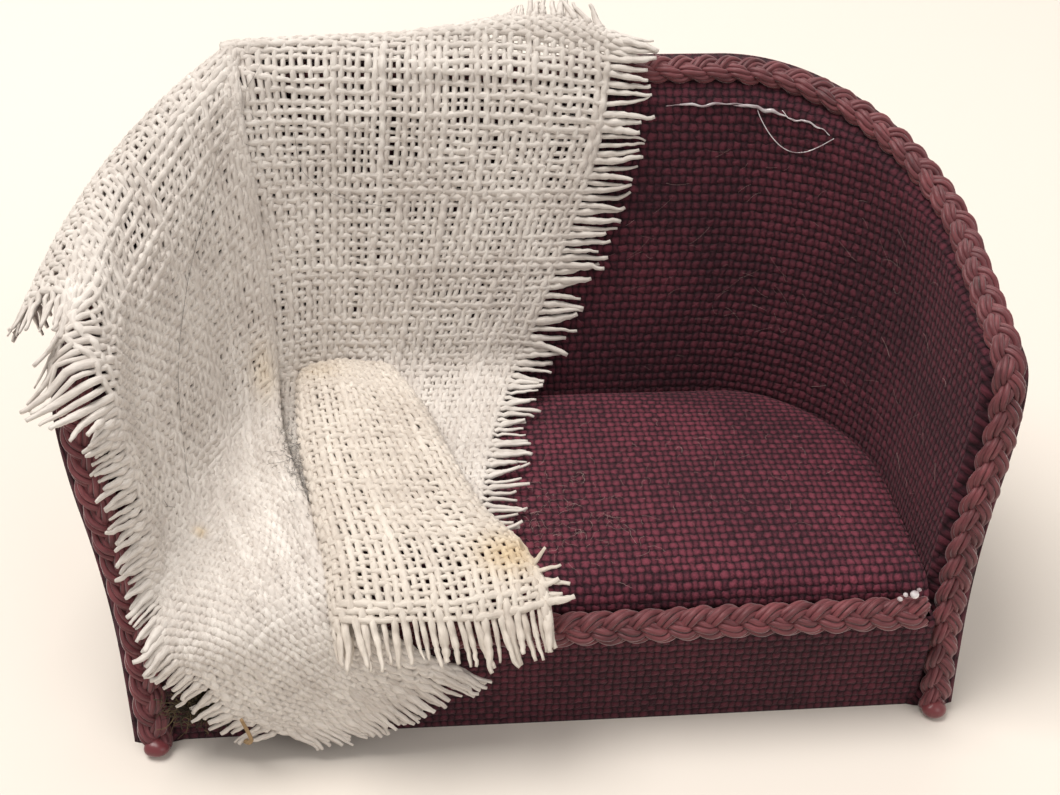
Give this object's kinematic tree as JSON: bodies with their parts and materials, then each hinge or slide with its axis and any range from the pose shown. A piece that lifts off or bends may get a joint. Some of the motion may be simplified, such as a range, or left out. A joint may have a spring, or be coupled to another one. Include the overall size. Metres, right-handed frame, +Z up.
{
  "type": "miniature tub settee",
  "caption": "Dolls' house tub settee with a wrap-round padded wall, crowned seat cushion, plaited edge trim and a loose gauze throw that lifts off",
  "frame": {"origin": "middle of the resting face of the base, on the floor", "axes": "+Z up, -Y the way the settee faces, +X to the right of a viewer in front of it"},
  "size_m": [0.0582, 0.0375, 0.0356],
  "materials": {
    "card": "matt, uncoated",
    "wood": "raw, light, soft wood",
    "wadding": "soft fibre wadding",
    "upholstery": "matt plain weave in dark wine red",
    "braid": "three-strand plait of stranded cotton with a slight sheen",
    "glue": "clear set glue",
    "gauze": "loose plain weave in cream, frayed edges",
    "moss": "dry dark fibres",
    "stalk": "dry tan stalk"
  },
  "bodies": {
    "settee": {"base_card": "card", "seat_block": "wood", "tub_card": "card", "back_padding": "wadding", "left_arm_padding": "wadding", "right_arm_padding": "wadding", "inner_cover": "upholstery", "outer_cover": "upholstery", "cushion_pad": "wadding", "cushion_cover": "upholstery", "apron_card": "card", "apron_cover": "upholstery", "edge_braid": "braid", "seat_braid": "braid", "edge_glue_bead": "glue", "seat_corner_glue": "glue", "braid_end_glue": "glue", "moss_tuft": "moss", "moss_stalk": "stalk"},
    "throw": {"throw": "gauze"}
  },
  "joints": [
    {"name": "throw_lift", "type": "slide", "parent": "settee", "child": "throw", "axis": [0, 0, 1], "range_m": [0, 0.045]}
  ]
}
